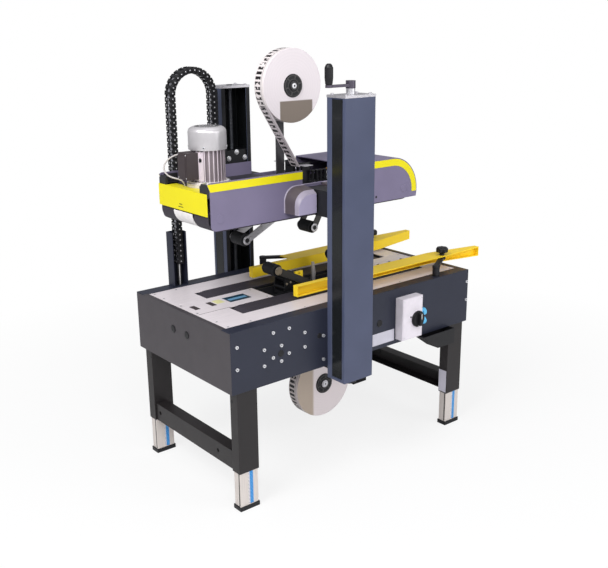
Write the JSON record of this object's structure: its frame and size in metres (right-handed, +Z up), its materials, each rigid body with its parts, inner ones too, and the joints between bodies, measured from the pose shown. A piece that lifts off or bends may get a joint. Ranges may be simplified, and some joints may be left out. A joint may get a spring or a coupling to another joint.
{
  "type": "carton sealer machine",
  "caption": "Semi-automatic carton sealer with lower and upper drive belts, taping units above and below the carton path, a crank-raised head on twin columns, side guides and telescopic legs.",
  "frame": {"origin": "Middle of the footprint on the floor, under the feet.", "axes": "+X from the exit end to the infeed end, where cartons enter; -Y is the operator's side with the control box and crank; +Z up."},
  "size_m": [1.24, 0.74, 1.422],
  "materials": {
    "bed_paint": "satin powder coat",
    "leg_paint": "satin powder coat",
    "column_paint": "satin powder coat",
    "head_paint": "satin powder coat",
    "yellow_paint": "satin powder coat",
    "pale_plate": "brushed",
    "bright_steel": "ground",
    "dark_steel": "black finish",
    "belt_rubber": "matt",
    "roller_rubber": "matt",
    "motor_aluminium": "cast",
    "cowl_paint": "satin paint",
    "carriage_aluminium": "dark finish",
    "box_plastic": "matt",
    "black_plastic": "matt",
    "skid_plastic": "smooth",
    "tape_film": "glossy wound film",
    "cable_white": "smooth"
  },
  "bodies": {
    "legs": {"inner_legs": "bright_steel"},
    "frame": {"leg_frames": "leg_paint", "side_panels": "bed_paint", "end_panels": "bed_paint", "bed_plates": "pale_plate", "columns": "column_paint", "sync_chain": "dark_steel", "chain_channel": "bed_paint", "chain_fixed_run": "black_plastic", "lower_belts": "belt_rubber", "belt_beds": "dark_steel", "lower_motor": "motor_aluminium", "lower_tape_frame": "bright_steel", "lower_roll_bracket": "bright_steel", "lower_tape_web": "tape_film", "control_box": "box_plastic", "guide_posts": "dark_steel", "frame_bolts": "bright_steel"},
    "front_screw": {"lead_screw_front": "bright_steel", "crank": "dark_steel"},
    "grip": {"crank_grip": "black_plastic"},
    "rear_screw": {"lead_screw_rear": "bright_steel"},
    "arch": {"chain_arch": "black_plastic"},
    "lower_drive": {"lower_drive_roller": "dark_steel"},
    "lower_idler": {"lower_idler_roller": "dark_steel"},
    "lower_apply": {"lower_apply_arm": "bright_steel"},
    "lower_apply_wheel": {"lower_apply_roller": "roller_rubber"},
    "lower_wipe": {"lower_wipe_arm": "bright_steel"},
    "lower_wipe_wheel": {"lower_wipe_roller": "roller_rubber"},
    "lower_roll": {"lower_tape_roll": "tape_film"},
    "switch": {"switch_knob": "black_plastic"},
    "arm_front_exit": {"guide_arm_front_exit": "dark_steel"},
    "arm_front_infeed": {"guide_arm_front_infeed": "dark_steel"},
    "rail_front": {"guide_front": "yellow_paint"},
    "knob_front": {"guide_knob_front": "black_plastic"},
    "arm_rear_exit": {"guide_arm_rear_exit": "dark_steel"},
    "arm_rear_infeed": {"guide_arm_rear_infeed": "dark_steel"},
    "rail_rear": {"guide_rear": "yellow_paint"},
    "knob_rear": {"guide_knob_rear": "black_plastic"},
    "head": {"head_chassis": "dark_steel", "head_panels": "head_paint", "head_trim": "yellow_paint", "upper_skids": "skid_plastic", "upper_belts": "belt_rubber", "carriages": "carriage_aluminium", "motor": "motor_aluminium", "motor_cowl": "cowl_paint", "terminal_box": "black_plastic", "motor_lead": "cable_white", "upper_tape_frame": "bright_steel", "roll_post": "dark_steel", "upper_tape_web": "tape_film", "chain_moving_run": "black_plastic"},
    "upper_drive": {"upper_drive_roller": "dark_steel"},
    "upper_idler": {"upper_idler_roller": "dark_steel"},
    "upper_apply": {"upper_apply_arm": "bright_steel"},
    "upper_apply_wheel": {"upper_apply_roller": "roller_rubber"},
    "upper_wipe": {"upper_wipe_arm": "bright_steel"},
    "upper_wipe_wheel": {"upper_wipe_roller": "roller_rubber"},
    "upper_roll": {"upper_tape_roll": "tape_film"}
  },
  "joints": [
    {"name": "bed_height", "type": "slide", "parent": "legs", "child": "frame", "axis": [0, 0, 1], "range_m": [-0.06, 0.2]},
    {"name": "head_lift", "type": "slide", "parent": "frame", "child": "head", "axis": [0, 0, 1], "range_m": [-0.1, 0.2], "deforming": ["chain_moving_run"]},
    {"name": "crank_turn", "type": "hinge", "parent": "frame", "child": "front_screw", "pos_m": [-0.1765, -0.324, 1.2], "axis": [0, 0, 1], "range_deg": [-3602, 7202]},
    {"name": "grip_spin", "type": "hinge", "parent": "front_screw", "child": "grip", "pos_m": [-0.2635, -0.324, 1.35], "axis": [0, 0, 1], "continuous": true},
    {"name": "rear_screw_turn", "type": "hinge", "parent": "frame", "child": "rear_screw", "pos_m": [-0.1765, 0.324, 1.2], "axis": [0, 0, 1], "range_deg": [-3602, 7202]},
    {"name": "arch_lift", "type": "slide", "parent": "frame", "child": "arch", "axis": [0, 0, 1], "range_m": [-0.0502, 0.1002], "deforming": ["chain_fixed_run"]},
    {"name": "lower_drive_spin", "type": "hinge", "parent": "frame", "child": "lower_drive", "pos_m": [-0.432, 0, 0.569], "axis": [0, 1, 0], "continuous": true},
    {"name": "lower_idler_spin", "type": "hinge", "parent": "frame", "child": "lower_idler", "pos_m": [0.322, 0, 0.569], "axis": [0, 1, 0], "continuous": true},
    {"name": "lower_apply_swing", "type": "hinge", "parent": "frame", "child": "lower_apply", "pos_m": [0.1, 0, 0.59], "axis": [0, -1, 0], "range_deg": [0, 58], "stiffness_Nm_per_rad": 8, "springref_deg": -28.65},
    {"name": "lower_apply_wheel_spin", "type": "hinge", "parent": "lower_apply", "child": "lower_apply_wheel", "pos_m": [0.045, 0, 0.684], "axis": [0, 1, 0], "continuous": true},
    {"name": "lower_wipe_swing", "type": "hinge", "parent": "frame", "child": "lower_wipe", "pos_m": [-0.075, 0, 0.6], "axis": [0, -1, 0], "range_deg": [0, 29.1]},
    {"name": "lower_wipe_wheel_spin", "type": "hinge", "parent": "lower_wipe", "child": "lower_wipe_wheel", "pos_m": [-0.245, 0, 0.684], "axis": [0, 1, 0], "continuous": true},
    {"name": "lower_roll_spin", "type": "hinge", "parent": "frame", "child": "lower_roll", "pos_m": [-0.032, 0, 0.205], "axis": [0, 1, 0], "continuous": true},
    {"name": "switch_turn", "type": "hinge", "parent": "frame", "child": "switch", "pos_m": [0.148, -0.323, 0.498], "axis": [0, -1, 0], "range_deg": [0, 90]},
    {"name": "front_arm_swing", "type": "hinge", "parent": "frame", "child": "arm_front_exit", "pos_m": [-0.09, -0.262, 0.646], "axis": [0, 0, 1], "range_deg": [-32, 25]},
    {"name": "front_arm_infeed_swing", "type": "hinge", "parent": "frame", "child": "arm_front_infeed", "pos_m": [0.305, -0.262, 0.646], "axis": [0, 0, 1], "range_deg": [-32.1, 25.1]},
    {"name": "front_rail_swing", "type": "hinge", "parent": "arm_front_exit", "child": "rail_front", "pos_m": [0.01903, -0.1912, 0.646], "axis": [0, 0, 1], "range_deg": [-25.1, 32.1]},
    {"name": "front_knob_turn", "type": "hinge", "parent": "rail_front", "child": "knob_front", "pos_m": [0.41403, -0.1912, 0.68], "axis": [0, 0, 1], "range_deg": [0, 360]},
    {"name": "rear_arm_swing", "type": "hinge", "parent": "frame", "child": "arm_rear_exit", "pos_m": [-0.09, 0.262, 0.646], "axis": [0, 0, 1], "range_deg": [-25, 32]},
    {"name": "rear_arm_infeed_swing", "type": "hinge", "parent": "frame", "child": "arm_rear_infeed", "pos_m": [0.305, 0.262, 0.646], "axis": [0, 0, 1], "range_deg": [-25.1, 32.1]},
    {"name": "rear_rail_swing", "type": "hinge", "parent": "arm_rear_exit", "child": "rail_rear", "pos_m": [0.01903, 0.1912, 0.646], "axis": [0, 0, 1], "range_deg": [-32.1, 25.1]},
    {"name": "rear_knob_turn", "type": "hinge", "parent": "rail_rear", "child": "knob_rear", "pos_m": [0.41403, 0.1912, 0.68], "axis": [0, 0, 1], "range_deg": [0, 360]},
    {"name": "upper_drive_spin", "type": "hinge", "parent": "head", "child": "upper_drive", "pos_m": [-0.545, 0, 0.926], "axis": [0, 1, 0], "continuous": true},
    {"name": "upper_idler_spin", "type": "hinge", "parent": "head", "child": "upper_idler", "pos_m": [0.25, 0, 0.926], "axis": [0, 1, 0], "continuous": true},
    {"name": "upper_apply_swing", "type": "hinge", "parent": "head", "child": "upper_apply", "pos_m": [-0.029, 0, 0.907], "axis": [0, 1, 0], "range_deg": [0, 58], "stiffness_Nm_per_rad": 8, "springref_deg": -28.65},
    {"name": "upper_apply_wheel_spin", "type": "hinge", "parent": "upper_apply", "child": "upper_apply_wheel", "pos_m": [-0.084, 0, 0.813], "axis": [0, 1, 0], "continuous": true},
    {"name": "upper_wipe_swing", "type": "hinge", "parent": "head", "child": "upper_wipe", "pos_m": [-0.204, 0, 0.897], "axis": [0, 1, 0], "range_deg": [0, 29.1]},
    {"name": "upper_wipe_wheel_spin", "type": "hinge", "parent": "upper_wipe", "child": "upper_wipe_wheel", "pos_m": [-0.374, 0, 0.813], "axis": [0, 1, 0], "continuous": true},
    {"name": "upper_roll_spin", "type": "hinge", "parent": "head", "child": "upper_roll", "pos_m": [-0.162, 0, 1.301], "axis": [0, 1, 0], "continuous": true}
  ],
  "couplings": [
    {"joint": "crank_turn", "follows": "head_lift", "rad_per_m": 628.32},
    {"joint": "rear_screw_turn", "follows": "head_lift", "rad_per_m": 628.32},
    {"joint": "arch_lift", "follows": "head_lift", "ratio": 0.5},
    {"joint": "lower_idler_spin", "follows": "lower_drive_spin", "ratio": 1},
    {"joint": "upper_idler_spin", "follows": "upper_drive_spin", "ratio": 1},
    {"joint": "lower_wipe_swing", "follows": "lower_apply_swing", "ratio": 0.5},
    {"joint": "upper_wipe_swing", "follows": "upper_apply_swing", "ratio": 0.5},
    {"joint": "front_arm_infeed_swing", "follows": "front_arm_swing", "ratio": 1},
    {"joint": "front_rail_swing", "follows": "front_arm_swing", "ratio": -1},
    {"joint": "rear_arm_infeed_swing", "follows": "rear_arm_swing", "ratio": 1},
    {"joint": "rear_rail_swing", "follows": "rear_arm_swing", "ratio": -1}
  ]
}
